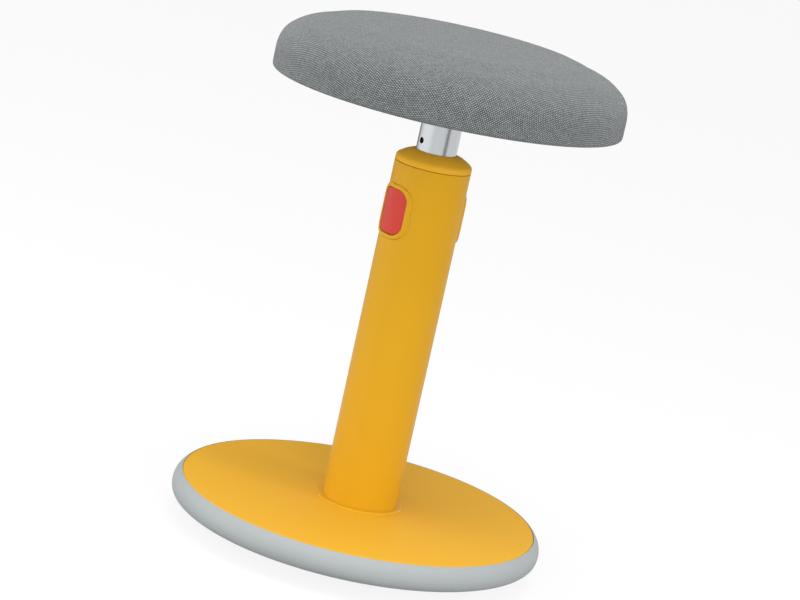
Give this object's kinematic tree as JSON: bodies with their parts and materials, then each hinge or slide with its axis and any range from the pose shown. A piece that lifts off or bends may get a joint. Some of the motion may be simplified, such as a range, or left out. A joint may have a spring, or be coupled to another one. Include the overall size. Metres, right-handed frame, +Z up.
{
  "type": "wobble stool",
  "caption": "Height-adjustable wobble stool: padded round seat on an aluminium post, column with squeeze buttons, and a domed rubber-soled base.",
  "frame": {"origin": "on the floor under the middle of the base, standing upright", "axes": "+Z up along the column, +X towards the right button, the left button at -X"},
  "size_m": [0.37, 0.37, 0.515],
  "materials": {
    "grey_rubber": "matt moulded rubber",
    "black_nylon": "glass-filled, matt",
    "raw_steel": "stamped",
    "yellow_plastic": "satin moulding",
    "zinc_steel": "zinc plated",
    "white_acetal": "smooth bearing plastic",
    "red_plastic": "satin moulding",
    "satin_aluminium": "satin anodised",
    "cast_aluminium": "as cast",
    "plywood": "birch, sanded",
    "black_felt": "thin non-woven sheet",
    "seat_foam": "open-cell foam",
    "grey_weave": "coarse two-tone weave"
  },
  "bodies": {
    "base": {"base_sole": "grey_rubber", "base_core": "black_nylon", "ballast_plate": "raw_steel", "base_cover": "yellow_plastic", "cover_screws": "zinc_steel", "column_bolts": "zinc_steel", "foot_collar": "yellow_plastic", "column_tube": "yellow_plastic", "column_cap": "yellow_plastic", "upper_guide_bush": "white_acetal", "lock_housing": "black_nylon", "left_bezel": "yellow_plastic", "right_bezel": "yellow_plastic", "left_spring": "zinc_steel", "right_spring": "zinc_steel"},
    "seat": {"seat_post": "satin_aluminium", "lower_glide_bush": "white_acetal", "bush_rivets": "zinc_steel", "seat_hub": "cast_aluminium", "hub_cross_pin": "zinc_steel", "hub_bolts": "zinc_steel", "board_tee_nuts": "zinc_steel", "seat_board": "plywood", "seat_dust_cover": "black_felt", "seat_foam": "seat_foam", "seat_cover": "grey_weave"},
    "left_latch": {"left_button": "red_plastic", "left_lock_plate": "raw_steel", "left_plate_screw": "zinc_steel"},
    "right_latch": {"right_button": "red_plastic", "right_lock_plate": "raw_steel", "right_plate_screw": "zinc_steel"}
  },
  "joints": [
    {"name": "height_slide", "type": "slide", "parent": "base", "child": "seat", "axis": [0, 0, 1], "range_m": [-0.035, 0.175]},
    {"name": "left_button_press", "type": "slide", "parent": "base", "child": "left_latch", "axis": [1, 0, 0], "range_m": [0, 0.003], "stiffness_N_per_m": 1500, "springref_m": -0.003, "deforming": ["left_spring"]},
    {"name": "right_button_press", "type": "slide", "parent": "base", "child": "right_latch", "axis": [-1, 0, 0], "range_m": [0, 0.003], "stiffness_N_per_m": 1500, "springref_m": -0.003, "deforming": ["right_spring"]}
  ]
}
